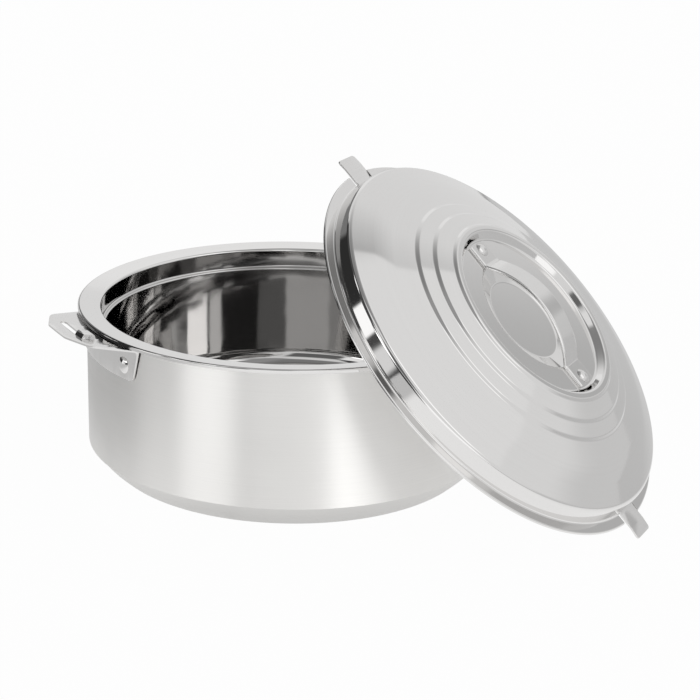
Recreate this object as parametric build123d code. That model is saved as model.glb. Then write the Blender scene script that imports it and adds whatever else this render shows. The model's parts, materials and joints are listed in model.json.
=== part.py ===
# Insulated serving casserole for flatbreads: a double-walled steel bowl with two riveted side
# handles, and its loose double-walled lid, which stands on the table and leans on the bowl's rim.
# Millimetres. The origin is the middle of the bowl's foot, +Z is up, +X runs through the right handle.

import os
from math import atan, cos, radians, sin, sqrt, tan

from build123d import *

os.makedirs("parts", exist_ok=True)

# Bowl
bowl_height = 116.5  # table to the top of the rim
rim_radius = 150.0
rim_width = 16.0  # flat of the rim, from its outer edge to the mouth
rim_dip = 2.0  # fall of that flat towards the mouth
rim_lip = 3.2  # depth of the rolled outer edge
rim_overhang = 6.0  # rim edge beyond the outer shell
step_depth = 14.0  # mouth edge down to the ledge
step_width = 3.0  # ledge inside the mouth
liner_floor_height = 24.0
liner_corner_radius = 12.0
foot_taper = 16.5  # inward run of the slanted foot band
foot_corner_radius = 4.0
foot_bulge = 1.2  # outward bow of the slanted foot band
foot_bulge_radius = 60.0
seam_height = 17.7  # lower edge of the outer shell
seam_lap = 7.0  # foot cup's lip inside the shell
small_bend_radius = 1.3
rim_bend_radius = 2.0
liner_sheet = 0.8
shell_sheet = 0.8
foot_sheet = 0.8
sheet_gap = 0.1  # between two sheets that are seamed together
foam_gap = 0.2  # between the foam and the sheets round it

# Side handles, each one bent blank
handle_overhang = 26.0  # outer edge beyond the rim's edge
handle_drop = 3.6  # rim top down to the plate where it passes under the rim's edge
handle_slope = 9.7  # degrees, rising outwards
handle_outer_width = 30.0  # straight middle of the outer edge
handle_shoulder_inset = 9.5  # outer edge in to the shoulders
handle_shoulder_width = 75.0
handle_corner_radius = 12.0
handle_bend_radius = 2.2  # where the blank turns down into its skirt
handle_sheet = 1.2
skirt_width = 94.4  # part of the blank bent down against the shell
skirt_foot_width = 83.0
skirt_depth = 24.0  # below the plate's height at the rim
skirt_corner_radius = 5.0
slot_inset = 12.6  # outer edge in to the slot's middle
slot_length = 29.7
slot_shift = 7.2  # slot's middle off the handle's own axis, away from the catch
slot_width = 5.0
catch_length = 11.3  # arched catch at the slot's end, which holds a lid tab down
catch_width = 10.7
catch_inset = 2.6  # catch's middle, inwards from the slot's middle
catch_rise = 2.2  # plate's top to the catch's underside
catch_leg_run = 1.6  # inward lean of each leg
catch_bend_radius = 1.8
handle_rivet_spread = 25.4  # degrees between the two rivets, about the bowl's axis
handle_rivet_depth = 18.3  # below the rim top

# Rivets
handle_rivet_head_radius = 5.9
strap_rivet_head_radius = 5.3
rivet_head_height = 2.2
rivet_shank_radius = 2.2
rivet_hole_gap = 0.05
rivet_tail_radius = 3.4
rivet_tail_height = 1.6

# Lid: heights are above the seat, the plane that rests on the rim when the lid is on
lid_inset = 3.3  # lid's edge inside the rim's edge
lid_flange_width = 7.8
lid_wall_height = 12.4
lid_wall_lean = 1.6  # inward lean of the wall over its height
lid_shoulder_radius = 4.0
lid_lip_radius = 1.2
dome_rise = 15.2  # shoulder up to the foot of the outer step
dome_bow = 1.0  # bow of that slope
dome_bow_radius = 150.0
outer_terrace_width = 11.0  # between the middles of the outer two steps
inner_terrace_width = 12.8
step_run = 2.4
step_rise = 1.6
step_bend_radius = 6.0
terrace_slope = 19.5  # degrees, between the steps
crest_width = 4.5  # flat inside the inner step
crest_bend_radius = 2.6
recess_radius = 60.6  # outer edge of the sunk flat ring that carries the strap
recess_depth = 5.0
recess_wall_run = 3.6
ring_width = 18.6
well_depth = 6.2
well_wall_run = 12.0
lid_sheet = 0.7
pan_sheet = 0.6
pan_clearance = 2.0  # round the pan, inside the bowl's mouth
pan_drop = 2.4  # pan's face below the seat
pan_bend_radius = 1.2
pan_flange_bend_radius = 0.9
pan_edge_gap = 0.8  # pan's edge to the cover's rolled lip
lid_foam_drop = 1.6  # cover's outer line down to the foam under it

# Strap across the lid's well
strap_width = 21.0
strap_sheet = 1.2
strap_edge = 2.2  # turned-down edges, from the strap's top
strap_edge_radius = 1.6
strap_crown = 14.4  # ears up to the middle
strap_bend_radius = 3.0
strap_end_gap = 1.8  # ear's end to the recess wall
strap_rivet_inset = 7.6  # rivets' middle, inwards from the ring's outer edge

# Lock tabs on the lid's flange
tab_width = 22.0
tab_overhang = 9.4  # tab's tip beyond the rim's edge
tab_sheet = 1.2
tab_root_lap = 4.6  # on the pan's flange, inside the cover's wall
tab_crank = 2.0  # run of the bend down from the pan's flange
tab_rise = 0.05  # tab's underside above the seat
tab_droop = 5.5  # degrees, outside the rim
tab_bend_radius = 1.0
tab_corner_radius = 2.5
notch_gap = 3.2  # open notch beside each tab, on the same side of both
notch_clearance = 0.4

# How the lid leans
lean_tilt = 44.7  # degrees, lid's axis from upright
lean_azimuth = -55.5  # degrees, the side it leans on
lean_sideways = -9.9  # lid's middle off that direction
lean_gap = 0.3

# Worked out
mouth_radius = rim_radius - rim_width
mouth_height = bowl_height - rim_dip
ledge_height = mouth_height - step_depth
liner_radius = mouth_radius - step_width
shell_radius = rim_radius - rim_overhang
shell_inside = shell_radius - shell_sheet
foot_radius = shell_inside - sheet_gap - foot_taper
handle_reach = rim_radius + handle_overhang
plate_height = bowl_height - handle_drop
skirt_inside = shell_radius + sheet_gap
skirt_outside = skirt_inside + handle_sheet
rivet_height = bowl_height - handle_rivet_depth
lid_radius = rim_radius - lid_inset
pan_radius = mouth_radius - pan_clearance
tab_reach = rim_radius + tab_overhang
flange_top = pan_sheet + sheet_gap + lid_sheet
ridge_radius = lid_radius - lid_flange_width
inner_step_radius = recess_radius + recess_wall_run + crest_width + step_run / 2
middle_step_radius = inner_step_radius + inner_terrace_width
outer_step_radius = middle_step_radius + outer_terrace_width
well_radius = recess_radius - ring_width
well_floor_radius = well_radius - well_wall_run
strap_rivet_offset = recess_radius - strap_rivet_inset
downwards = (Align.CENTER, Align.CENTER, Align.MAX)


def bent_sheet(points, bends, thickness, side):
    """Section of one sheet: a line with its bends, thickened towards its hidden side."""
    line = FilletPolyline(*points, radius=bends)
    return make_face(line.wire().offset_2d(thickness, side=side))


def spun(section):
    return revolve(Plane.XZ * section, axis=Axis.Z)


# ---- Bowl ----


def inner_liner():
    points = [
        (0, liner_floor_height),
        (liner_radius, liner_floor_height),
        (liner_radius, ledge_height),
        (mouth_radius, ledge_height),
        (mouth_radius, mouth_height),
        (rim_radius, bowl_height),
        (rim_radius, bowl_height - rim_lip),
    ]
    bends = [
        liner_corner_radius,
        small_bend_radius,
        small_bend_radius,
        rim_bend_radius,
        small_bend_radius,
    ]
    return spun(bent_sheet(points, bends, liner_sheet, Side.RIGHT))


def under_rim(radius, depth):
    """Height at a depth under the rim's sloping flat."""
    slope = rim_dip / rim_width
    return bowl_height - slope * (rim_radius - radius) - depth * sqrt(1 + slope**2)


def outer_shell():
    depth = liner_sheet + sheet_gap + shell_sheet
    edge = rim_radius - liner_sheet - small_bend_radius
    points = [
        (shell_radius, seam_height),
        (shell_radius, under_rim(shell_radius, depth)),
        (edge, under_rim(edge, depth)),
    ]
    shell = spun(bent_sheet(points, [small_bend_radius], shell_sheet, Side.LEFT))
    return shell - Compound(handle_rivet_holes())


def base_cup():
    slant = sqrt(foot_taper**2 + seam_height**2)
    lip_radius = foot_radius + foot_taper
    points = [
        (0, 0),
        (foot_radius, 0),
        (
            foot_radius + foot_taper / 2 + foot_bulge * seam_height / slant,
            seam_height / 2 - foot_bulge * foot_taper / slant,
        ),
        (lip_radius, seam_height),
        (lip_radius, seam_height + seam_lap),
    ]
    bends = [foot_corner_radius, foot_bulge_radius, small_bend_radius]
    return spun(bent_sheet(points, bends, foot_sheet, Side.LEFT))


def bowl_insulation():
    floor = foot_sheet + foam_gap
    lip_inside = shell_inside - sheet_gap - foot_sheet - foam_gap
    lip_top = seam_height + seam_lap + foam_gap
    top = mouth_height - liner_sheet - rim_bend_radius - foam_gap
    liner_gap = liner_sheet + foam_gap
    outline = Polyline(
        (0, floor),
        (foot_radius - foot_corner_radius, floor),
        (lip_inside, seam_height + foot_sheet),
        (lip_inside, lip_top),
        (shell_inside - foam_gap, lip_top),
        (shell_inside - foam_gap, top),
        (mouth_radius + liner_gap, top),
        (mouth_radius + liner_gap, ledge_height - liner_gap),
        (liner_radius + liner_gap, ledge_height - liner_gap),
        (liner_radius + liner_gap, liner_floor_height - liner_gap),
        (0, liner_floor_height - liner_gap),
        close=True,
    )
    section = make_face(outline)
    corner = section.vertices().sort_by_distance(
        Vector(liner_radius + liner_gap, liner_floor_height - liner_gap)
    )[0]
    section = fillet(corner, liner_corner_radius + liner_gap)
    return spun(section) - Compound(handle_rivet_pockets())


# ---- Side handles ----


def plate_top(radius):
    """Height of the plate's dished top face at a radius."""
    return plate_height + (radius - rim_radius) * tan(radians(handle_slope))


def on_plate(radius):
    """Frame on the plate's top face, on the handle's own axis, with x running outwards."""
    slope = radians(handle_slope)
    return Plane(
        origin=(radius, 0, plate_top(radius)),
        x_dir=(cos(slope), 0, sin(slope)),
        z_dir=(-sin(slope), 0, cos(slope)),
    ).location


def symmetric_face(half, corner_radius, corners_at):
    """Face with the given right-hand points and their mirror images, rounded at some corners."""
    other = [(-across, along) for across, along in reversed(half)]
    face = make_face(Polyline(*half, *other, close=True))
    corners = [
        corner
        for corner in face.vertices()
        if any(abs(corner.Y - along) < 0.001 for along in corners_at)
    ]
    return fillet(corners, corner_radius)


def plate_plan():
    """The blank seen from above, with y running outwards from the bowl's axis."""
    shoulder = handle_reach - handle_shoulder_inset
    half = [
        (skirt_width / 2, 0),
        (skirt_width / 2, sqrt(skirt_outside**2 - (skirt_width / 2) ** 2)),
        (handle_shoulder_width / 2, shoulder),
        (handle_outer_width / 2, handle_reach),
    ]
    return symmetric_face(half, handle_corner_radius, [shoulder, handle_reach])


def skirt_front():
    """The blank seen from outside, with y running upwards from the table."""
    foot = plate_height - skirt_depth
    half = [
        (skirt_foot_width / 2, foot),
        (skirt_width / 2, plate_height - handle_bend_radius),
        (skirt_width / 2, 2 * bowl_height),
    ]
    return symmetric_face(half, skirt_corner_radius, [foot])


def catch_arch():
    """Catch on the plate, rooted at both sides and open at both ends."""
    half = catch_width / 2
    top = catch_rise + handle_sheet
    root = -handle_sheet / 2
    line = [
        (-half, root),
        (catch_leg_run - half, top),
        (half - catch_leg_run, top),
        (half, root),
    ]
    section = bent_sheet(line, catch_bend_radius, handle_sheet, Side.RIGHT)
    return extrude(Plane.XZ * section, catch_length / 2, both=True)


def side_handle():
    far = handle_reach + handle_shoulder_inset
    line = [(skirt_inside, 0), (skirt_inside, plate_top(skirt_inside)), (far, plate_top(far))]
    blank = spun(bent_sheet(line, handle_bend_radius, handle_sheet, Side.RIGHT))
    blank &= Rot(0, 0, -90) * extrude(plate_plan(), 2 * bowl_height)
    blank &= extrude(Plane.YZ * skirt_front(), 2 * rim_radius)

    slot_radius = handle_reach - slot_inset
    slot = extrude(SlotOverall(slot_length, slot_width, 90), 2 * handle_sheet, both=True)
    blank -= on_plate(slot_radius) * Pos(0, -slot_shift, 0) * slot
    catch_start = slot_length / 2 - slot_shift
    catch_place = on_plate(slot_radius - catch_inset) * Pos(0, catch_start + catch_length / 2, 0)
    window = Box(catch_width - 2 * handle_sheet, catch_length + slot_width / 2, 4 * handle_sheet)
    blank -= catch_place * Pos(0, -slot_width / 4, 0) * window
    blank += catch_place * catch_arch()
    return blank - Compound(handle_rivet_holes())


def rivet(head_radius, grip):
    """Domed head above z = 0, shank down through the grip, and the tail formed under it."""
    dome_radius = (head_radius**2 + rivet_head_height**2) / (2 * rivet_head_height)
    dome = Pos(0, 0, rivet_head_height - dome_radius) * Sphere(dome_radius)
    dome -= Pos(0, 0, -dome_radius) * Box(4 * dome_radius, 4 * dome_radius, 2 * dome_radius)
    shank = Cylinder(rivet_shank_radius, grip, align=downwards)
    tail = Pos(0, 0, -grip) * Cylinder(rivet_tail_radius, rivet_tail_height, align=downwards)
    tail = chamfer(tail.edges().group_by(Axis.Z)[0], rivet_tail_height / 2)
    return dome + shank + tail


def rivet_hole():
    return Cylinder(rivet_shank_radius + rivet_hole_gap, 8 * rivet_head_height)


def handle_rivet_places():
    """Where the heads of one handle's rivets sit on the skirt, pointing outwards."""
    return [
        Rot(0, 0, side * handle_rivet_spread / 2) * Pos(skirt_outside, 0, rivet_height) * Rot(0, 90, 0)
        for side in (-1, 1)
    ]


def handle_rivets():
    grip = skirt_outside - shell_inside + rivet_hole_gap
    return [place * rivet(handle_rivet_head_radius, grip) for place in handle_rivet_places()]


def handle_rivet_holes():
    """Holes for the rivets of both handles."""
    hole = rivet_hole()
    return [Rot(0, 0, turn) * place * hole for turn in (0, 180) for place in handle_rivet_places()]


def handle_rivet_pockets():
    """Room in the foam for the rivets' tails."""
    reach = skirt_outside - shell_inside + rivet_tail_height + 2 * foam_gap
    pocket = Cylinder(rivet_tail_radius + foam_gap, reach, align=downwards)
    return [Rot(0, 0, turn) * place * pocket for turn in (0, 180) for place in handle_rivet_places()]


# ---- Lid, in its own frame: x down the slope, z out of the dome ----


def cover_line():
    """Outer line of the cover from its middle to its rolled lip, and the bend at each corner."""
    shoulder = (ridge_radius - lid_wall_lean, flange_top + lid_wall_height)
    points = [(lid_radius, 0), (lid_radius, flange_top), (ridge_radius, flange_top), shoulder]
    bends = [lid_lip_radius, small_bend_radius, lid_shoulder_radius]

    foot_radius_outer = outer_step_radius + step_run / 2
    points.append(
        ((shoulder[0] + foot_radius_outer) / 2, shoulder[1] + dome_rise / 2 + dome_bow)
    )
    bends.append(dome_bow_radius)
    height = shoulder[1] + dome_rise
    for radius, next_radius in [
        (outer_step_radius, middle_step_radius),
        (middle_step_radius, inner_step_radius),
        (inner_step_radius, None),
    ]:
        points += [(radius + step_run / 2, height), (radius - step_run / 2, height + step_rise)]
        bends += [step_bend_radius, step_bend_radius]
        height += step_rise
        if next_radius:
            height += (radius - next_radius - step_run) * tan(radians(terrace_slope))
    bends[-1] = crest_bend_radius

    ring = height - recess_depth
    points += [
        (recess_radius + recess_wall_run, height),
        (recess_radius, ring),
        (well_radius, ring),
        (well_floor_radius, ring - well_depth),
        (0, ring - well_depth),
    ]
    bends += [crest_bend_radius] * 4
    return points, bends, ring


def tab_notches(inner_radius, top):
    """Cuts round the two tabs, wider on one side, from a radius outwards."""
    width = tab_width + notch_gap + notch_clearance
    shift = (notch_gap - notch_clearance) / 2
    reach = lid_radius + lid_flange_width - inner_radius
    cut = Pos(inner_radius, -shift, top) * Box(
        reach, width, 4 * top, align=(Align.MIN, Align.CENTER, Align.MAX)
    )
    return [cut, mirror(cut, about=Plane.YZ)]


def strap_rivet_places():
    ring = cover_line()[2]
    return [Pos(side * strap_rivet_offset, 0, ring + strap_edge) for side in (-1, 1)]


def lid_covers():
    """The cover, parted along the middle of its crest: dome and flange, then the sunk dish."""
    points, bends, ring = cover_line()
    cover = spun(bent_sheet(points, bends, lid_sheet, Side.LEFT))
    notch_top = pan_sheet + sheet_gap + tab_sheet + notch_clearance
    cover -= Compound(tab_notches(ridge_radius - lid_wall_lean, notch_top))
    cover -= Compound([place * rivet_hole() for place in strap_rivet_places()])
    dish = Cylinder(recess_radius + recess_wall_run + crest_width / 2, 4 * lid_radius)
    return cover - dish, cover & dish


def lid_inner_pan():
    points = [
        (0, -pan_drop),
        (pan_radius, -pan_drop),
        (pan_radius, 0),
        (lid_radius - lid_sheet - pan_edge_gap, 0),
    ]
    pan = spun(bent_sheet(points, [pan_bend_radius, pan_flange_bend_radius], pan_sheet, Side.LEFT))
    return pan - Compound(tab_notches(ridge_radius, 2 * pan_sheet))


def lid_insulation():
    points, bends, ring = cover_line()
    top = [(radius, height - lid_foam_drop) for radius, height in points[3:]]
    floor = pan_sheet + foam_gap - pan_drop
    section = make_face(Polyline((0, floor), (top[0][0], floor), *top, close=True))
    edge = pan_radius - pan_sheet - foam_gap
    section &= Rectangle(2 * edge, 4 * ring)
    foam = spun(section)
    reach = strap_edge + lid_sheet + rivet_tail_height + 2 * foam_gap
    pocket = Cylinder(rivet_tail_radius + foam_gap, reach, align=downwards)
    return foam - Compound([place * pocket for place in strap_rivet_places()])


def lid_handle():
    ring = cover_line()[2]
    half = well_radius
    rise = 2 * atan(strap_crown / half)
    reach = recess_radius - strap_end_gap
    side_length = half / cos(rise) - strap_bend_radius * tan(rise / 2)
    arch_radius = (side_length - strap_sheet) / tan(rise)
    path = FilletPolyline(
        (-reach, 0),
        (-half, 0),
        (0, half * tan(rise)),
        (half, 0),
        (reach, 0),
        radius=[strap_bend_radius, arch_radius, strap_bend_radius],
    )
    path = Plane.XZ * path
    channel = bent_sheet(
        [
            (-strap_width / 2, -strap_edge),
            (-strap_width / 2, 0),
            (strap_width / 2, 0),
            (strap_width / 2, -strap_edge),
        ],
        strap_edge_radius,
        strap_sheet,
        Side.RIGHT,
    )
    start = Plane(origin=(-reach, 0, 0), x_dir=(0, 1, 0), z_dir=(1, 0, 0))
    strap = Pos(0, 0, ring + strap_edge) * sweep(start * channel, path=path)
    strap &= Cylinder(reach, 8 * recess_radius)
    return strap - Compound([place * rivet_hole() for place in strap_rivet_places()])


def lid_handle_rivets():
    grip = strap_edge + lid_sheet + rivet_hole_gap
    return [place * rivet(strap_rivet_head_radius, grip) for place in strap_rivet_places()]


def lock_tab():
    lap = pan_sheet + sheet_gap
    root_end = ridge_radius - lid_sheet / 2
    droop_start = rim_radius + tab_sheet
    tip_height = tab_rise - (tab_reach - droop_start) * tan(radians(tab_droop))
    points = [
        (root_end - tab_root_lap, lap),
        (root_end, lap),
        (root_end + tab_crank, tab_rise),
        (droop_start, tab_rise),
        (tab_reach, tip_height),
    ]
    side = bent_sheet(points, tab_bend_radius, tab_sheet, Side.LEFT)
    tab = extrude(Plane.XZ * side, tab_width / 2, both=True)
    tip = tab.edges().filter_by(Axis.Z, tolerance=tab_droop + 1).group_by(Axis.X)[-1]
    return fillet(tip, tab_corner_radius), tip_height


def lean():
    """Where the leaning lid's own frame lies: one tab on the table, the pan against the rim."""
    tilt, azimuth = radians(lean_tilt), radians(lean_azimuth)
    tip_height = lock_tab()[1]
    bend = small_bend_radius
    height = tab_reach * sin(tilt) - tip_height * cos(tilt)
    contact = (rim_radius - bend) * sin(tilt) + (bowl_height - bend) * cos(tilt) + bend
    outwards = (contact + pan_drop + lean_gap - height * cos(tilt)) / sin(tilt)
    across = Vector(-sin(azimuth), cos(azimuth), 0)
    away = Vector(cos(azimuth), sin(azimuth), 0)
    middle = away * outwards + across * lean_sideways + Vector(0, 0, height)
    return Plane(
        origin=middle,
        x_dir=away * cos(tilt) - Vector(0, 0, sin(tilt)),
        z_dir=away * sin(tilt) + Vector(0, 0, cos(tilt)),
    ).location


handle = side_handle()
tab = lock_tab()[0]
lid_cover, lid_cover_dish = lid_covers()
turned = Rot(0, 0, 180)
leaning = lean()

pieces = {
    "inner_liner": inner_liner(),
    "outer_shell": outer_shell(),
    "base_cup": base_cup(),
    "bowl_insulation": bowl_insulation(),
    "right_handle": handle,
    "left_handle": turned * handle,
    "right_handle_rivets": Compound(handle_rivets()),
    "left_handle_rivets": Compound([turned * piece for piece in handle_rivets()]),
    "lid_cover": leaning * lid_cover,
    "lid_cover_dish": leaning * lid_cover_dish,
    "lid_inner_pan": leaning * lid_inner_pan(),
    "lid_insulation": leaning * lid_insulation(),
    "lid_handle": leaning * lid_handle(),
    "lid_handle_rivets": leaning * Compound(lid_handle_rivets()),
    "lower_lock_tab": leaning * tab,
    "upper_lock_tab": leaning * turned * tab,
}

for node, shape in pieces.items():
    export_step(shape, f"parts/{node}.step")
    print(node, round(shape.volume), [round(value, 1) for value in shape.bounding_box().size])
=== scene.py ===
# Insulated serving casserole for flatbreads: a double-walled steel bowl and its loose lid.
# Sizes in the dictionaries are millimetres and degrees, and mm turns them into Blender's metres.
# The studio's own sizes are metres.

import json
from math import atan, atan2, ceil, cos, pi, radians, sin, sqrt, tan

import bmesh
import bpy
from mathutils import Matrix, Vector


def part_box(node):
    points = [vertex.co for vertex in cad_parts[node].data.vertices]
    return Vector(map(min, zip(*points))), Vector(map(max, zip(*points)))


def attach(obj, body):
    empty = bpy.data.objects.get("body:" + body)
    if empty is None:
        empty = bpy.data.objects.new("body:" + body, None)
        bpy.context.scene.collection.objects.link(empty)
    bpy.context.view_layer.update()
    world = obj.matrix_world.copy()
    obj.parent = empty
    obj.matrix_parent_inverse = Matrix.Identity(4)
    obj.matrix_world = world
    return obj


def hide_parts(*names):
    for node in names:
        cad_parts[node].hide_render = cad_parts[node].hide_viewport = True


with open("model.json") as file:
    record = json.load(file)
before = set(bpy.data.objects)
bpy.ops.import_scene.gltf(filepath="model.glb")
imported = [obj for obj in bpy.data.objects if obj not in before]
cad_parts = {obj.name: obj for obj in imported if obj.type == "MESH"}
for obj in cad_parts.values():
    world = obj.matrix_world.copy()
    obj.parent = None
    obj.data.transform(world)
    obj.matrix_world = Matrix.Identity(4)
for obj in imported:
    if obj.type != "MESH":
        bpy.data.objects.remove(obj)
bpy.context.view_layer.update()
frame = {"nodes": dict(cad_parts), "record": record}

mm = 0.001
weldDistance = 0.001 * mm  # points closer than this become one
cutDistance = 0.0001 * mm  # points closer than this to a cut lie on it
quarterTurn = 0.25  # of the full turn that is 1 to a shader
scene = bpy.context.scene


def hexColour(text):
    # sRGB hex to the linear values that shaders take
    parts = [int(text[i : i + 2], 16) / 255 for i in (1, 3, 5)]
    return [c / 12.92 if c <= 0.04045 else ((c + 0.055) / 1.055) ** 2.4 for c in parts] + [1]


def addNode(tree, kind, settings=None, links=None):
    node = tree.nodes.new(kind)
    for name, value in (settings or {}).items():
        setattr(node, name, value)
    for name, value in (links or {}).items():
        if isinstance(value, bpy.types.NodeSocket):
            tree.links.new(value, node.inputs[name])
        else:
            node.inputs[name].default_value = value
    return node


def newTree(name):
    material = bpy.data.materials.new(name)
    material.use_nodes = True
    material.node_tree.nodes.clear()
    return material, material.node_tree


# How the steels' three noises are drawn, and the part of their range that is used. The grain is
# coarser than the real scratches, which are too fine to show.
noises = {
    "grain": {"Detail": 3, "Roughness": 0.6},
    "wave": {"Detail": 1, "Roughness": 0.4},
    "smear": {"Detail": 4, "Roughness": 0.6},
}
grainRange = (0.25, 0.75)
smearRange = (0.3, 0.7)


def steel(name, look, place=Matrix()):
    # the grain runs in rings round the axis of its place; a spread draws reflections out along z
    material, tree = newTree(name)
    where = addNode(tree, "ShaderNodeTexCoord")
    local = addNode(
        tree,
        "ShaderNodeMapping",
        {"vector_type": "TEXTURE"},
        {
            "Vector": where.outputs["Object"],
            "Location": place.to_translation(),
            "Rotation": place.to_euler(),
        },
    )
    flat = addNode(
        tree,
        "ShaderNodeVectorMath",
        {"operation": "MULTIPLY"},
        {0: local.outputs["Vector"], 1: (1, 1, 0)},
    )
    radius = addNode(
        tree, "ShaderNodeVectorMath", {"operation": "LENGTH"}, {0: flat.outputs["Vector"]}
    )
    axes = addNode(tree, "ShaderNodeSeparateXYZ", None, {"Vector": local.outputs["Vector"]})
    along = addNode(
        tree,
        "ShaderNodeMath",
        {"operation": "MULTIPLY"},
        {0: axes.outputs["X"], 1: look["grainWidth"] / look["grainLength"]},
    )
    # points of one radius and height share a ring of grain, and x breaks it into strokes
    ringWay = addNode(
        tree,
        "ShaderNodeCombineXYZ",
        None,
        {"X": radius.outputs["Value"], "Y": axes.outputs["Z"], "Z": along.outputs["Value"]},
    )
    drawn = {}
    for noise, way, size in (
        ("grain", ringWay, look["grainWidth"]),
        ("wave", local, look["waveSize"]),
        ("smear", local, look["smearSize"]),
    ):
        drawn[noise] = addNode(
            tree,
            "ShaderNodeTexNoise",
            None,
            {"Vector": way.outputs["Vector"], "Scale": 1 / (size * mm), **noises[noise]},
        ).outputs["Fac"]
    gloss = addNode(
        tree,
        "ShaderNodeMapRange",
        None,
        {
            "Value": drawn["smear"],
            "From Min": smearRange[0],
            "From Max": smearRange[1],
            "To Min": look["roughness"] - look["roughnessSpread"],
            "To Max": look["roughness"] + look["roughnessSpread"],
        },
    )
    tone = addNode(
        tree,
        "ShaderNodeMapRange",
        None,
        {
            "Value": drawn["grain"],
            "From Min": grainRange[0],
            "From Max": grainRange[1],
            "To Min": 1 - look["grainTone"],
            "To Max": 1.0,
        },
    )
    colour = addNode(
        tree,
        "ShaderNodeMix",
        {"data_type": "RGBA", "blend_type": "MULTIPLY"},
        {0: 1.0, 6: hexColour(look["colour"]), 7: tone.outputs["Result"]},
    )
    broad = addNode(
        tree,
        "ShaderNodeBump",
        None,
        {"Strength": 1.0, "Distance": look["waveHeight"] * mm, "Height": drawn["wave"]},
    )
    fine = addNode(
        tree,
        "ShaderNodeBump",
        None,
        {
            "Strength": 1.0,
            "Distance": look["grainHeight"] * mm,
            "Height": drawn["grain"],
            "Normal": broad.outputs["Normal"],
        },
    )
    shader = addNode(
        tree,
        "ShaderNodeBsdfPrincipled",
        None,
        {
            "Base Color": colour.outputs[2],
            "Metallic": 1.0,
            "Roughness": gloss.outputs["Result"],
            "Anisotropic": look.get("spread", 0.0),
            "Anisotropic Rotation": quarterTurn,
            "Normal": fine.outputs["Normal"],
        },
    )
    if "spread" in look:
        axis = addNode(tree, "ShaderNodeTangent", {"direction_type": "RADIAL", "axis": "Z"})
        tree.links.new(axis.outputs["Tangent"], shader.inputs["Tangent"])
    addNode(tree, "ShaderNodeOutputMaterial", None, {"Surface": shader.outputs["BSDF"]})
    return material


def bentLine(points, bends, turnStep=7.5, fewestSteps=3, lead=0.15):
    # a section's corners become arcs, each with a close point on the straight before and after it,
    # which keeps the shading of the flats flat
    line = [Vector(points[0])]
    for before, corner, after, bend in zip(points, points[1:], points[2:], bends):
        corner = Vector(corner)
        inWay = (corner - Vector(before)).normalized()
        outWay = (Vector(after) - corner).normalized()
        turn = atan2(inWay.x * outWay.y - inWay.y * outWay.x, inWay.dot(outWay))
        start = corner - inWay * bend * tan(abs(turn) / 2)
        side = 1 if turn > 0 else -1
        centre = start + Vector((-inWay.y, inWay.x)) * bend * side
        arm = start - centre
        count = max(fewestSteps, ceil(abs(turn) / radians(turnStep)))
        line.append(start - inWay * lead)
        for step in range(count + 1):
            line.append(centre + Matrix.Rotation(turn * step / count, 2) @ arm)
        line.append(line[-1] + outWay * lead)
    line.append(Vector(points[-1]))
    return line


def spun(section, steps=256):
    bm = bmesh.new()
    verts = [bm.verts.new((radius * mm, 0, height * mm)) for radius, height in section]
    edges = [bm.edges.new(pair) for pair in zip(verts, verts[1:])]
    bmesh.ops.spin(
        bm, geom=verts + edges, axis=(0, 0, 1), angle=2 * pi, steps=steps, use_merge=True
    )
    bmesh.ops.remove_doubles(bm, verts=bm.verts, dist=weldDistance)
    bmesh.ops.recalc_face_normals(bm, faces=bm.faces)
    return bm


def turnFaces(bm, spot, way):
    # turns the whole sheet over where its face nearest to the spot looks away from the given way
    spot = Vector(spot) * mm
    face = min(bm.faces, key=lambda each: (each.calc_center_median() - spot).length)
    if face.normal.dot(Vector(way)) < 0:
        bmesh.ops.reverse_faces(bm, faces=bm.faces)


def facesWithin(bm, low, high):
    return [
        face
        for face in bm.faces
        if all(a < middle < b for a, middle, b in zip(low, face.calc_center_median(), high))
    ]


def cutWindow(bm, low, high, margin=12.0):
    # cuts a box-shaped window out of a sheet, and splits only the faces near it
    low, high = Vector(low) * mm, Vector(high) * mm
    reach = Vector((margin, margin, margin)) * mm
    for axis, normal in enumerate(Matrix.Identity(3)):
        for level in (low[axis], high[axis]):
            near = facesWithin(bm, low - reach, high + reach)
            parts = set(near)
            for face in near:
                parts.update(face.edges, face.verts)
            bmesh.ops.bisect_plane(
                bm, geom=list(parts), dist=cutDistance, plane_co=normal * level, plane_no=normal
            )
    bmesh.ops.delete(bm, geom=facesWithin(bm, low, high), context="FACES")


def mergedNode(node, flatLimit=0.05):
    # a copy of a CAD node with its triangles merged and its flats, true to the limit, made whole
    bm = bmesh.new()
    bm.from_mesh(frame["nodes"][node].data)
    bmesh.ops.remove_doubles(bm, verts=bm.verts, dist=weldDistance)
    bmesh.ops.dissolve_limit(
        bm,
        angle_limit=radians(flatLimit),
        verts=bm.verts,
        edges=bm.edges,
        use_dissolve_boundaries=False,
    )
    return bm


# Edges that turn by more than this angle are broken, in this many steps
edgeBreak = {"fromAngle": 38, "segments": 3}


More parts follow.
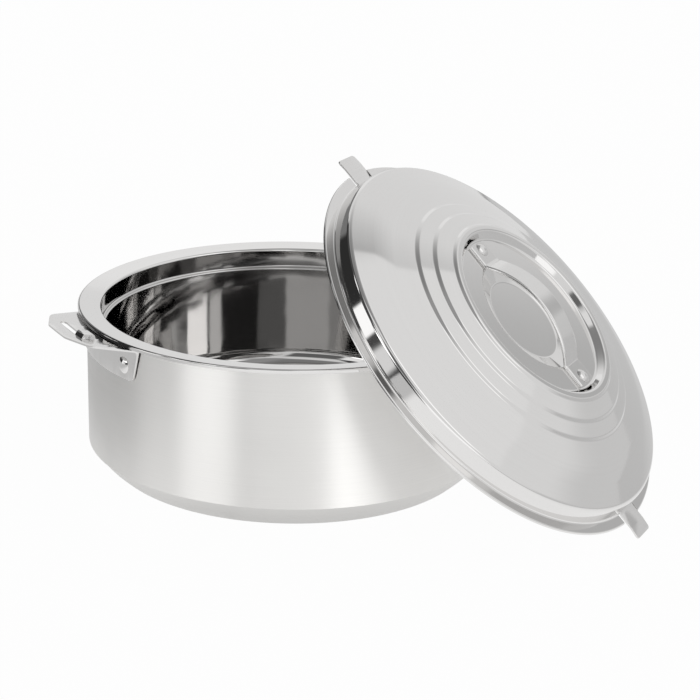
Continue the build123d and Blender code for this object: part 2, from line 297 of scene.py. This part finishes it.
def addPiece(name, bm, node, material, wall=None, edge=None, place=None, others=()):
    body = next(body for body, nodes in bodies.items() if node in nodes)
    if place:
        bmesh.ops.transform(bm, matrix=place, verts=bm.verts)
    mesh = bpy.data.meshes.new(name)
    bm.to_mesh(mesh)
    bm.free()
    mesh.materials.append(material)
    mesh.shade_smooth()
    piece = bpy.data.objects.new(name, mesh)
    scene.collection.objects.link(piece)
    if wall:
        sheet = piece.modifiers.new("sheet", "SOLIDIFY")
        sheet.thickness = wall * mm
        sheet.offset = -1  # the modelled face stays outside
        sheet.use_even_offset = True
    if edge:
        deburr = piece.modifiers.new("deburr", "BEVEL")
        deburr.width = edge * mm
        deburr.segments = edgeBreak["segments"]
        deburr.limit_method = "ANGLE"
        deburr.angle_limit = radians(edgeBreak["fromAngle"])
        deburr.harden_normals = True
        deburr.use_clamp_overlap = True
    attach(piece, body)
    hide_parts(node, *others)
    return piece


bodies = frame["record"]["behaviour"]["bodies"]

cameraSetup = {
    "target": (50.8, 7.2, 69.0),
    "azimuth": -29.1,  # from the bowl's front towards +x
    "elevation": 18.78,
    "distance": 1450.0,
    "roll": 1.374,
    "lens": 102.857,
}

azimuth, elevation = radians(cameraSetup["azimuth"]), radians(cameraSetup["elevation"])
back = Vector((sin(azimuth) * cos(elevation), -cos(azimuth) * cos(elevation), sin(elevation)))
camera = bpy.data.objects.new("camera", bpy.data.cameras.new("camera"))
camera.data.lens = cameraSetup["lens"]
camera.location = (Vector(cameraSetup["target"]) + back * cameraSetup["distance"]) * mm
aim = (-back).to_track_quat("-Z", "Y").to_matrix()
camera.rotation_euler = (aim @ Matrix.Rotation(radians(cameraSetup["roll"]), 3, "Z")).to_euler()
scene.collection.objects.link(camera)
scene.camera = camera
print("camera set")

# Where the lid leans: its angle to the table, and the way down its slope, from +x towards +y
lean = {"tilt": 44.7, "azimuth": -55.5}
tilt, leanWay = radians(lean["tilt"]), radians(lean["azimuth"])
downhill = Vector((cos(leanWay) * cos(tilt), sin(leanWay) * cos(tilt), -sin(tilt)))
across = Vector((-sin(leanWay), cos(leanWay), 0))
outOfDome = Vector((cos(leanWay) * sin(tilt), sin(leanWay) * sin(tilt), cos(tilt)))
panSheet = 0.6
panLow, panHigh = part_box("lid_inner_pan")
lidMiddle = (panLow + panHigh) / 2 - outOfDome * panSheet / 2 * mm
lidPlace = Matrix((downhill, across, outOfDome)).transposed().to_4x4()
lidPlace.translation = lidMiddle

# Stainless steel, drawn and then mirror polished: sharp reflections, faintly wavy
mirrorLook = {
    "colour": "#E8E7E6",
    "insideShadeColour": "#D4D3D2",  # the drawn wall and bottom, darker than the rim: painted shade for the dark reflections inside
    "roughness": 0.055,
    "roughnessSpread": 0.02,
    "grainWidth": 1.2,
    "grainLength": 90.0,
    "grainTone": 0.02,
    "grainHeight": 0.0004,
    "waveSize": 24.0,
    "waveHeight": 0.12,
    "smearSize": 40.0,
}
# Stainless steel, pressed and buffed on a wheel: bright, a little softer than a mirror
buffedLook = {
    "colour": "#E8E7E6",
    "roughness": 0.065,
    "roughnessSpread": 0.02,
    "grainWidth": 1.4,
    "grainLength": 120.0,
    "grainTone": 0.02,
    "grainHeight": 0.0006,
    "waveSize": 60.0,
    "waveHeight": 0.04,
    "smearSize": 60.0,
}
# Stainless steel, satin finished with a belt run round the wall: broad soft upright bands
satinLook = {
    "colour": "#E8E7E5",
    "roughness": 0.36,
    "roughnessSpread": 0.02,
    "spread": 0.85,
    "grainWidth": 0.9,
    "grainLength": 60.0,
    "grainTone": 0.03,
    "grainHeight": 0.001,
    "waveSize": 70.0,
    "waveHeight": 0.04,
    "smearSize": 50.0,
}
# Bright rolled stainless sheet, blanked and bent: fairly sharp, with a rolled skin
rolledLook = {
    "colour": "#E6E5E4",
    "roughness": 0.13,
    "roughnessSpread": 0.03,
    "grainWidth": 0.9,
    "grainLength": 25.0,
    "grainTone": 0.03,
    "grainHeight": 0.0008,
    "waveSize": 25.0,
    "waveHeight": 0.03,
    "smearSize": 18.0,
}
# Stainless rivet heads, closed with a polished die: small and bright, a little soft
rivetLook = {
    "colour": "#E6E5E4",
    "roughness": 0.1,
    "roughnessSpread": 0.02,
    "grainWidth": 0.8,
    "grainLength": 10.0,
    "grainTone": 0.03,
    "grainHeight": 0.0006,
    "waveSize": 8.0,
    "waveHeight": 0.01,
    "smearSize": 8.0,
}

mirrorSteel = steel("mirrorPolishedStainlessSteel", mirrorLook)
# a darker copy of the mirror steel for the bowl's inside: painted shade
shadedInsideSteel = steel("mirrorPolishedShadedInsideSteel", {**mirrorLook, "colour": mirrorLook["insideShadeColour"]})
panSteel = steel("mirrorPolishedLidSteel", mirrorLook, lidPlace)
buffedSteel = steel("buffedStainlessSteel", buffedLook, lidPlace)
satinSteel = steel("satinStainlessSteel", satinLook)
rolledSteel = steel("rolledStainlessSheet", rolledLook)
strapSteel = steel("rolledStainlessStrap", rolledLook, lidPlace)
rivetSteel = steel("stainlessRivet", rivetLook)
lidRivetSteel = steel("stainlessLidRivet", rivetLook, lidPlace)

# Foamed-in-place polyurethane: cream and matt, with small closed cells
foamLook = {
    "colour": "#E9DCAE",
    # painted shade: each cell is darker towards its middle, where its pit is deepest
    "pitShadeColour": "#D3C08A",
    "roughness": 0.85,
    "cell": 0.8,
    "cellDepth": 0.15,
}
foam, tree = newTree("polyurethaneFoam")
where = addNode(tree, "ShaderNodeTexCoord")
cells = addNode(
    tree,
    "ShaderNodeTexVoronoi",
    None,
    {"Vector": where.outputs["Object"], "Scale": 1 / (foamLook["cell"] * mm)},
)
# the cream darkens into each cell's pit with the bump's depth, as painted shade
cream = addNode(
    tree,
    "ShaderNodeMix",
    {"data_type": "RGBA"},
    {
        0: cells.outputs["Distance"],
        6: hexColour(foamLook["pitShadeColour"]),
        7: hexColour(foamLook["colour"]),
    },
)
pits = addNode(
    tree,
    "ShaderNodeBump",
    None,
    {"Distance": foamLook["cellDepth"] * mm, "Height": cells.outputs["Distance"]},
)
shader = addNode(
    tree,
    "ShaderNodeBsdfPrincipled",
    None,
    {
        "Base Color": cream.outputs[2],
        "Roughness": foamLook["roughness"],
        "Normal": pits.outputs["Normal"],
    },
)
addNode(tree, "ShaderNodeOutputMaterial", None, {"Surface": shader.outputs["BSDF"]})
for node in ("bowl_insulation", "lid_insulation"):
    block = frame["nodes"][node]
    block.data.materials.clear()
    block.data.materials.append(foam)
print("materials made")

bowl = {
    "height": 116.5,
    "rimRadius": 150.0,
    "rimWidth": 16.0,
    "rimDip": 2.0,  # from the rim's edge down to the mouth
    "rimLip": 3.2,
    "rimOverhang": 6.0,  # past the casing
    "stepDepth": 14.0,  # from the mouth down to the ledge
    "stepWidth": 3.0,
    "floorHeight": 24.0,
    "floorCorner": 12.0,
    "footTaper": 16.5,
    "footCorner": 4.0,
    "footBulge": 1.2,
    "footBulgeRadius": 60.0,
    "seamHeight": 17.7,
    "seamLap": 7.0,  # the foot cup's lip inside the casing
    "smallBend": 1.3,
    "rimBend": 2.0,
    "sheet": 0.8,
    "sheetGap": 0.1,
    "cutEdge": 0.15,
}
mouthRadius = bowl["rimRadius"] - bowl["rimWidth"]
mouthHeight = bowl["height"] - bowl["rimDip"]
linerRadius = mouthRadius - bowl["stepWidth"]
ledgeHeight = mouthHeight - bowl["stepDepth"]
casingRadius = bowl["rimRadius"] - bowl["rimOverhang"]


def underRim(radius):
    slope = bowl["rimDip"] / bowl["rimWidth"]
    depth = 2 * bowl["sheet"] + bowl["sheetGap"]
    return bowl["height"] - slope * (bowl["rimRadius"] - radius) - depth * sqrt(1 + slope**2)


linerSection = bentLine(
    [
        (0, bowl["floorHeight"]),
        (linerRadius, bowl["floorHeight"]),
        (linerRadius, ledgeHeight),
        (mouthRadius, ledgeHeight),
        (mouthRadius, mouthHeight),
        (bowl["rimRadius"], bowl["height"]),
        (bowl["rimRadius"], bowl["height"] - bowl["rimLip"]),
    ],
    [
        bowl["floorCorner"],
        bowl["smallBend"],
        bowl["smallBend"],
        bowl["rimBend"],
        bowl["smallBend"],
    ],
)
bm = spun(linerSection)
turnFaces(bm, (0, 0, bowl["floorHeight"]), (0, 0, 1))
liner = addPiece("foodLiner", bm, "inner_liner", mirrorSteel, bowl["sheet"], bowl["cutEdge"])
# the faces inside the mouth take the darker copy of the steel, which is painted shade
liner.data.materials.append(shadedInsideSteel)
for face in liner.data.polygons:
    if face.center.xy.length < mouthRadius * mm:
        face.material_index = 1

flangeEdge = bowl["rimRadius"] - bowl["sheet"] - bowl["smallBend"]
casingSection = bentLine(
    [
        (casingRadius, bowl["seamHeight"]),
        (casingRadius, underRim(casingRadius)),
        (flangeEdge, underRim(flangeEdge)),
    ],
    [bowl["smallBend"]],
)
bm = spun(casingSection)
turnFaces(bm, (casingRadius, 0, bowl["height"] / 2), (1, 0, 0))
addPiece("casing", bm, "outer_shell", satinSteel, bowl["sheet"], bowl["cutEdge"])

lipRadius = casingRadius - bowl["sheet"] - bowl["sheetGap"]
footRadius = lipRadius - bowl["footTaper"]
slant = sqrt(bowl["footTaper"] ** 2 + bowl["seamHeight"] ** 2)
footSection = bentLine(
    [
        (0, 0),
        (footRadius, 0),
        (
            (footRadius + lipRadius) / 2 + bowl["footBulge"] * bowl["seamHeight"] / slant,
            bowl["seamHeight"] / 2 - bowl["footBulge"] * bowl["footTaper"] / slant,
        ),
        (lipRadius, bowl["seamHeight"]),
        (lipRadius, bowl["seamHeight"] + bowl["seamLap"]),
    ],
    [bowl["footCorner"], bowl["footBulgeRadius"], bowl["smallBend"]],
)
bm = spun(footSection)
turnFaces(bm, (0, 0, 0), (0, 0, -1))
addPiece("footCup", bm, "base_cup", satinSteel, bowl["sheet"], bowl["cutEdge"])
print("bowl made")

handle = {
    "cutEdge": 0.3,
    "skirtRadius": 145.3,
    "rivetSpread": 25.4,  # degrees round the bowl
    "rivetHeight": 98.2,
    "rivetRadius": 5.9,
    "earFrom": 36.0,  # to each side of the handle's middle
    "earTo": 47.2,
    "earGap": 0.8,
}


def springEars(bm):
    # the skirt's two ears spring off the casing a little, most at their ends
    for vert in bm.verts:
        past = (abs(vert.co.y) / mm - handle["earFrom"]) / (handle["earTo"] - handle["earFrom"])
        if past > 0:
            outward = Vector((vert.co.x, vert.co.y, 0)).normalized()
            vert.co += outward * handle["earGap"] * past * mm


for name, node in (("rightHandle", "right_handle"), ("leftHandle", "left_handle")):
    bm = mergedNode(node)
    springEars(bm)
    addPiece(name, bm, node, rolledSteel, edge=handle["cutEdge"])

rivet = {
    "rise": 2.2,
    "edge": 0.35,
    "shank": 2.2,
    "grip": 3.0,
    "arcSteps": 14,
    "turnSteps": 48,
}


def rivetSection(headRadius):
    domeRadius = (headRadius**2 + rivet["rise"] ** 2) / (2 * rivet["rise"])
    reach = atan2(headRadius, domeRadius - rivet["rise"])
    section = []
    for step in range(rivet["arcSteps"] + 1):
        swing = reach * step / rivet["arcSteps"]
        section.append(
            Vector((domeRadius * sin(swing), rivet["rise"] + domeRadius * (cos(swing) - 1)))
        )
    section.append(Vector((rivet["shank"], 0)))
    section.append(Vector((rivet["shank"], -rivet["grip"])))
    section.append(Vector((0, -rivet["grip"])))
    return section


def rivetPair(places, headRadius):
    bm = bmesh.new()
    for place in places:
        one = spun(rivetSection(headRadius), rivet["turnSteps"])
        bmesh.ops.transform(one, matrix=place, verts=one.verts)
        mesh = bpy.data.meshes.new("rivet")
        one.to_mesh(mesh)
        one.free()
        bm.from_mesh(mesh)
        bpy.data.meshes.remove(mesh)
    return bm


for name, node, middle in (
    ("rightHandleRivets", "right_handle_rivets", 0),
    ("leftHandleRivets", "left_handle_rivets", 180),
):
    places = [
        Matrix.Rotation(radians(middle + side * handle["rivetSpread"] / 2), 4, "Z")
        @ Matrix.Translation(Vector((handle["skirtRadius"], 0, handle["rivetHeight"])) * mm)
        @ Matrix.Rotation(radians(90), 4, "Y")
        for side in (-1, 1)
    ]
    heads = rivetPair(places, handle["rivetRadius"])
    addPiece(name, heads, node, rivetSteel, edge=rivet["edge"])
print("handles made")

# The lid's pieces are made in its own frame, x down the slope and z out of the dome
lid = {
    "radius": 146.7,
    "flangeWidth": 7.8,
    "flangeTop": 1.4,
    "wallHeight": 12.4,
    "wallLean": 1.6,
    "shoulderBend": 4.0,
    "lipBend": 1.2,
    "smallBend": 1.3,
    "domeRise": 15.2,
    "domeBow": 1.0,
    "domeBowRadius": 150.0,
    "stepRadii": (93.7, 82.7, 69.9),
    "stepRun": 2.0,
    "stepRise": 1.6,
    "stepBend": 2.6,
    "terraceSlope": 18.75,
    "crestBend": 2.6,
    "recessRadius": 60.6,
    "recessDepth": 5.0,
    "recessWallRun": 3.6,
    "wellRadius": 42.0,
    "wellDepth": 6.2,
    "wellFloorRadius": 30.0,
    "sheet": 0.7,
    "panRadius": 132.0,
    "panDrop": 2.4,
    "panBend": 1.2,
    "panFlangeBend": 0.9,
    "panEdgeGap": 0.8,
    "cutEdge": 0.12,
    "notchOpen": 14.2,  # the notch's wide side, from its tab's middle
    "notchTight": 11.4,
    "notchTop": 2.3,
    "notchBottom": -5.0,  # below the flange and the pan
    "notchPast": 1.0,  # past the flange's edge
}
ridge = lid["radius"] - lid["flangeWidth"]
shoulder = Vector((ridge - lid["wallLean"], lid["flangeTop"] + lid["wallHeight"]))
coverPoints = [(lid["radius"], 0), (lid["radius"], lid["flangeTop"]), (ridge, lid["flangeTop"])]
coverBends = [lid["lipBend"], lid["smallBend"], lid["shoulderBend"], lid["domeBowRadius"]]
coverPoints.append(tuple(shoulder))
coverPoints.append(
    (
        (shoulder.x + lid["stepRadii"][0] + lid["stepRun"] / 2) / 2,
        shoulder.y + lid["domeRise"] / 2 + lid["domeBow"],
    )
)
level = shoulder.y + lid["domeRise"]
for radius, nextRadius in zip(lid["stepRadii"], lid["stepRadii"][1:] + (None,)):
    coverPoints.append((radius + lid["stepRun"] / 2, level))
    level += lid["stepRise"]
    coverPoints.append((radius - lid["stepRun"] / 2, level))
    coverBends += [lid["stepBend"]] * 2
    if nextRadius:
        level += (radius - nextRadius - lid["stepRun"]) * tan(radians(lid["terraceSlope"]))
coverBends[-1] = lid["crestBend"]
ringHeight = level - lid["recessDepth"]
coverPoints += [
    (lid["recessRadius"] + lid["recessWallRun"], level),
    (lid["recessRadius"], ringHeight),
    (lid["wellRadius"], ringHeight),
    (lid["wellFloorRadius"], ringHeight - lid["wellDepth"]),
    (0, ringHeight - lid["wellDepth"]),
]
coverBends += [lid["crestBend"]] * 4


def cutTabNotches(bm, inner, top):
    # one notch each side, wider on the same side of both tabs
    outer = lid["radius"] + lid["notchPast"]
    for low, high in ((inner, outer), (-outer, -inner)):
        lowCorner = (low, -lid["notchOpen"], lid["notchBottom"])
        cutWindow(bm, lowCorner, (high, lid["notchTight"], top))


bm = spun(bentLine(coverPoints, coverBends, turnStep=6.0, lead=0.1))
cutTabNotches(bm, ridge - lid["wallLean"], lid["notchTop"])
turnFaces(bm, (0, 0, ringHeight), (0, 0, 1))
halves = "lid_cover", "lid_cover_dish"  # one pressing, parted in the frame for its collision
sheet, edge = lid["sheet"], lid["cutEdge"]
addPiece("lidCover", bm, halves[0], buffedSteel, sheet, edge, lidPlace, halves[1:])

panSection = bentLine(
    [
        (0, -lid["panDrop"]),
        (lid["panRadius"], -lid["panDrop"]),
        (lid["panRadius"], 0),
        (lid["radius"] - lid["sheet"] - lid["panEdgeGap"], 0),
    ],
    [lid["panBend"], lid["panFlangeBend"]],
)
bm = spun(panSection)
cutTabNotches(bm, ridge, 2 * panSheet)
turnFaces(bm, (0, 0, -lid["panDrop"]), (0, 0, -1))
addPiece("lidPan", bm, "lid_inner_pan", panSteel, panSheet, lid["cutEdge"], lidPlace)

strap = {
    "width": 21.0,
    "sheet": 1.2,
    "edge": 2.2,
    "edgeBend": 1.6,
    "span": 84.0,
    "crown": 14.4,
    "bend": 3.0,
    "endGap": 1.8,
    "rivetOffset": 53.0,
    "rivetRadius": 5.3,
    "cutEdge": 0.25,
}


def strapPath():
    half = strap["span"] / 2
    rise = 2 * atan(strap["crown"] / half)
    reach = lid["recessRadius"] - strap["endGap"]
    sideLength = half / cos(rise) - strap["bend"] * tan(rise / 2)
    archRadius = (sideLength - strap["sheet"]) / tan(rise)
    points = [(-reach, 0), (-half, 0), (0, half * tan(rise)), (half, 0), (reach, 0)]
    return bentLine(points, [strap["bend"], archRadius, strap["bend"]], turnStep=3.0)


def sweptStrap():
    half, drop = strap["width"] / 2, strap["edge"]
    section = bentLine(
        [(-half, -drop), (-half, 0), (half, 0), (half, -drop)], [strap["edgeBend"]] * 2
    )
    path = strapPath()
    base = ringHeight + strap["edge"]
    bm = bmesh.new()
    ring = [bm.verts.new((0, across * mm, height * mm)) for across, height in section]
    edges = [bm.edges.new(pair) for pair in zip(ring, ring[1:])]
    stations = []
    for before, spot, after in zip(path[:1] + path[:-1], path, path[1:] + path[-1:]):
        way = (after - before).normalized()
        turn = Matrix.Rotation(-atan2(way.y, way.x), 4, "Y")
        stations.append(Matrix.Translation((spot.x * mm, 0, (base + spot.y) * mm)) @ turn)
    bmesh.ops.transform(bm, matrix=stations[0], verts=ring)
    for before, station in zip(stations, stations[1:]):
        grown = bmesh.ops.extrude_edge_only(bm, edges=edges)["geom"]
        edges = [part for part in grown if isinstance(part, bmesh.types.BMEdge)]
        fresh = [part for part in grown if isinstance(part, bmesh.types.BMVert)]
        bmesh.ops.transform(bm, matrix=station @ before.inverted(), verts=fresh)
    reach = (lid["recessRadius"] - strap["endGap"]) * mm
    endSlack = 0.01 * mm
    for vert in bm.verts:  # the strap's ends follow the round recess
        if abs(vert.co.x) > reach - endSlack:
            vert.co.x = sqrt(reach**2 - vert.co.y**2) * (1 if vert.co.x > 0 else -1)
    bmesh.ops.recalc_face_normals(bm, faces=bm.faces)
    return bm


bm = sweptStrap()
overhead = (0, 0, ringHeight + strap["span"])
turnFaces(bm, overhead, (0, 0, 1))
addPiece("lidStrap", bm, "lid_handle", strapSteel, strap["sheet"], strap["cutEdge"], lidPlace)

places = [
    lidPlace
    @ Matrix.Translation(Vector((side * strap["rivetOffset"], 0, ringHeight + strap["edge"])) * mm)
    for side in (-1, 1)
]
heads = rivetPair(places, strap["rivetRadius"])
addPiece("lidStrapRivets", heads, "lid_handle_rivets", lidRivetSteel, edge=rivet["edge"])

tab = {"cutEdge": 0.3}
for name, node in (("lowerTab", "lower_lock_tab"), ("upperTab", "upper_lock_tab")):
    addPiece(name, mergedNode(node), node, strapSteel, edge=tab["cutEdge"])
print("lid made")

studio = {
    "floorSize": 60.0,
    "floorColour": "#FAFAFA",
    "shadowShare": 0.03,  # the part of the seen floor that is lit paper, the rest being plain white
    "mirroredShadowShare": 0.12,  # the same part of the floor in the steel
    "footShade": 0.78,  # painted shadow round the foot: how bright the white close to the foot is in the steel
    "footShadeFrom": 0.126,  # from the bowl's axis
    "footShadeTo": 0.162,
    "wall": 0.79,
    "ceiling": 0.25,
    "ceilingFrom": 42.0,  # degrees above the table
    "ceilingTo": 80.0,
}
# Painted shade in the floor that the steel mirrors: degrees to the right of the line of sight, the
# metres that way from which and to which it darkens, and how bright it is past them
paintedFloorShades = [
    {"right": 75, "from": 0.15, "to": 0.55, "light": 0.6},
    {"right": -75, "from": 0.13, "to": 0.3, "light": 0.6},
]
# Light panels and dark flags round the table: degrees to the right of the line of sight and
# above the table, half their width and height in degrees, how many degrees their edges are soft
# for, and their brightness. A later one covers those before it.
panels = [
    {"right": 66, "up": 2, "wide": 36, "high": 5, "soft": 9, "light": 0.66},
    {"right": 88, "up": 46, "wide": 22.5, "high": 20, "soft": 1.5, "light": 0.84},
    {"right": 114, "up": 45, "wide": 8, "high": 16, "soft": 4, "light": 1.2},
    {"right": 179, "up": -5, "wide": 38, "high": 22, "soft": 3, "light": 1.15},
    {"right": -160, "up": 62, "wide": 24, "high": 5, "soft": 5, "light": 0.85},
    {"right": -85, "up": 39, "wide": 33, "high": 26, "soft": 4, "light": 0.07},
    {"right": -64, "up": 18, "wide": 25, "high": 22, "soft": 5, "light": 0.03},
    {"right": -28, "up": 20, "wide": 14, "high": 9, "soft": 5, "light": 0.2},
    {"right": 0, "up": 30, "wide": 9, "high": 7, "soft": 5, "light": 0.9},
    {"right": -144, "up": 8, "wide": 15, "high": 9, "soft": 3, "light": 0.05},
    {"right": -102, "up": 9, "wide": 7, "high": 14, "soft": 2, "light": 1.2},
    {"right": -128, "up": 20, "wide": 12, "high": 2.5, "soft": 2, "light": 2.4},
    {"right": -164, "up": 37, "wide": 14, "high": 12, "soft": 4, "light": 0.15},
    {"right": 56, "up": 19, "wide": 9, "high": 4, "soft": 5, "light": 0.5},
    {"right": -137, "up": 36, "wide": 5, "high": 8, "soft": 3, "light": 1.1},
    {"right": -93, "up": 45, "wide": 3.5, "high": 5, "soft": 2, "light": 1.2},
    {"right": 97, "up": 76, "wide": 24, "high": 4, "soft": 6, "light": 0.35},
]
# Soft boxes that light the casing alone and draw its upright bands, with their power in watts
softBoxes = [
    {"right": -138, "up": 16, "distance": 2.2, "width": 1.1, "height": 1.2, "power": 8.5},
    {"right": 142, "up": 16, "distance": 2.2, "width": 1.2, "height": 1.2, "power": 14.0},
]

floor = bpy.data.objects.new("floor", bpy.data.meshes.new("floor"))
bm = bmesh.new()
bmesh.ops.create_grid(bm, x_segments=1, y_segments=1, size=studio["floorSize"] / 2)
bm.to_mesh(floor.data)
bm.free()
scene.collection.objects.link(floor)
paper, tree = newTree("studioPaper")
rays = addNode(tree, "ShaderNodeLightPath")
matt = addNode(
    tree, "ShaderNodeBsdfDiffuse", None, {"Color": hexColour(studio["floorColour"]), "Roughness": 1.0}
)
where = addNode(tree, "ShaderNodeTexCoord")
fromAxis = addNode(
    tree, "ShaderNodeVectorMath", {"operation": "LENGTH"}, {0: where.outputs["Object"]}
)
# painted shadow in the floor round the foot, seen only by the steel
shade = addNode(
    tree,
    "ShaderNodeMapRange",
    {"interpolation_type": "SMOOTHSTEP"},
    {
        "Value": fromAxis.outputs["Value"],
        "From Min": studio["footShadeFrom"],
        "From Max": studio["footShadeTo"],
        "To Min": studio["footShade"],
        "To Max": 1.0,
    },
)
faded = addNode(
    tree,
    "ShaderNodeMath",
    {"operation": "MULTIPLY"},
    {0: rays.outputs["Is Glossy Ray"], 1: shade.outputs["Result"]},
).outputs["Value"]
# each of these paints shade into the floor as the steel sees it
for fade in paintedFloorShades:
    compass = radians(fade["right"]) - azimuth
    sideways = addNode(
        tree,
        "ShaderNodeVectorMath",
        {"operation": "DOT_PRODUCT"},
        {0: where.outputs["Object"], 1: (sin(compass), cos(compass), 0)},
    )
    dimming = addNode(
        tree,
        "ShaderNodeMapRange",
        {"interpolation_type": "SMOOTHSTEP"},
        {
            "Value": sideways.outputs["Value"],
            "From Min": fade["from"],
            "From Max": fade["to"],
            "To Min": 1.0,
            "To Max": fade["light"],
        },
    )
    faded = addNode(
        tree, "ShaderNodeMath", {"operation": "MULTIPLY"}, {0: faded, 1: dimming.outputs["Result"]}
    ).outputs["Value"]
brightness = addNode(
    tree, "ShaderNodeMath", {"operation": "MAXIMUM"}, {0: faded, 1: rays.outputs["Is Camera Ray"]}
)
white = addNode(
    tree,
    "ShaderNodeEmission",
    None,
    {"Color": (1, 1, 1, 1), "Strength": brightness.outputs["Value"]},
)
mirrored = addNode(
    tree,
    "ShaderNodeMath",
    {"operation": "MULTIPLY"},
    {0: rays.outputs["Is Glossy Ray"], 1: 1 - studio["mirroredShadowShare"]},
)
share = addNode(
    tree,
    "ShaderNodeMath",
    {"operation": "MULTIPLY_ADD"},
    {0: rays.outputs["Is Camera Ray"], 1: 1 - studio["shadowShare"], 2: mirrored.outputs["Value"]},
)
blend = addNode(
    tree,
    "ShaderNodeMixShader",
    None,
    {0: share.outputs["Value"], 1: matt.outputs["BSDF"], 2: white.outputs["Emission"]},
)
addNode(tree, "ShaderNodeOutputMaterial", None, {"Surface": blend.outputs["Shader"]})
floor.data.materials.append(paper)

world = bpy.data.worlds.new("studio")
scene.world = world
world.use_nodes = True
tree = world.node_tree
tree.nodes.clear()
where = addNode(tree, "ShaderNodeTexCoord")
axes = addNode(tree, "ShaderNodeSeparateXYZ", None, {"Vector": where.outputs["Generated"]})
light = addNode(
    tree,
    "ShaderNodeMapRange",
    {"interpolation_type": "SMOOTHSTEP"},
    {
        "Value": axes.outputs["Z"],
        "From Min": sin(radians(studio["ceilingFrom"])),
        "From Max": sin(radians(studio["ceilingTo"])),
        "To Min": studio["wall"],
        "To Max": studio["ceiling"],
    },
).outputs["Result"]
for panel in panels:
    turned = addNode(
        tree,
        "ShaderNodeMapping",
        {"vector_type": "TEXTURE"},
        {
            "Vector": where.outputs["Generated"],
            "Rotation": (radians(panel["up"]), 0, azimuth - radians(panel["right"])),
        },
    )
    parts = addNode(tree, "ShaderNodeSeparateXYZ", None, {"Vector": turned.outputs["Vector"]})
    ahead = addNode(
        tree, "ShaderNodeMath", {"operation": "GREATER_THAN"}, {0: parts.outputs["Y"], 1: 0.0}
    )
    mask = ahead.outputs["Value"]
    for axis, half in (("X", panel["wide"]), ("Z", panel["high"])):
        angle = addNode(
            tree,
            "ShaderNodeMath",
            {"operation": "ARCTAN2"},
            {0: parts.outputs[axis], 1: parts.outputs["Y"]},
        )
        size = addNode(
            tree, "ShaderNodeMath", {"operation": "ABSOLUTE"}, {0: angle.outputs["Value"]}
        )
        soft = addNode(
            tree,
            "ShaderNodeMapRange",
            {"interpolation_type": "SMOOTHSTEP"},
            {
                "Value": size.outputs["Value"],
                "From Min": radians(half),
                "From Max": radians(half + panel["soft"]),
                "To Min": 1.0,
                "To Max": 0.0,
            },
        )
        mask = addNode(
            tree, "ShaderNodeMath", {"operation": "MULTIPLY"}, {0: mask, 1: soft.outputs["Result"]}
        ).outputs["Value"]
    light = addNode(
        tree, "ShaderNodeMix", {"data_type": "FLOAT"}, {0: mask, 2: light, 3: panel["light"]}
    ).outputs[0]
rays = addNode(tree, "ShaderNodeLightPath")
sky = addNode(tree, "ShaderNodeBackground", None, {"Color": (1, 1, 1, 1), "Strength": light})
backdrop = addNode(tree, "ShaderNodeBackground", None, {"Color": (1, 1, 1, 1), "Strength": 1.0})
shown = addNode(
    tree,
    "ShaderNodeMixShader",
    None,
    {
        0: rays.outputs["Is Camera Ray"],
        1: sky.outputs["Background"],
        2: backdrop.outputs["Background"],
    },
)
addNode(tree, "ShaderNodeOutputWorld", None, {"Surface": shown.outputs["Shader"]})

casingOnly = bpy.data.collections.new("casingOnly")
casingOnly.objects.link(bpy.data.objects["casing"])
for index, box in enumerate(softBoxes):
    lamp = bpy.data.lights.new(f"softBox{index}", "AREA")
    lamp.shape = "RECTANGLE"
    lamp.size, lamp.size_y, lamp.energy = box["width"], box["height"], box["power"]
    holder = bpy.data.objects.new(lamp.name, lamp)
    compass, rise = radians(box["right"]) - azimuth, radians(box["up"])
    way = Vector((sin(compass) * cos(rise), cos(compass) * cos(rise), sin(rise)))
    holder.location = way * box["distance"]
    holder.rotation_euler = way.to_track_quat("Z", "Y").to_euler()
    scene.collection.objects.link(holder)
    holder.light_linking.receiver_collection = casingOnly
scene.view_settings.view_transform = "Standard"
print("studio made")

bpy.context.view_layer.update()
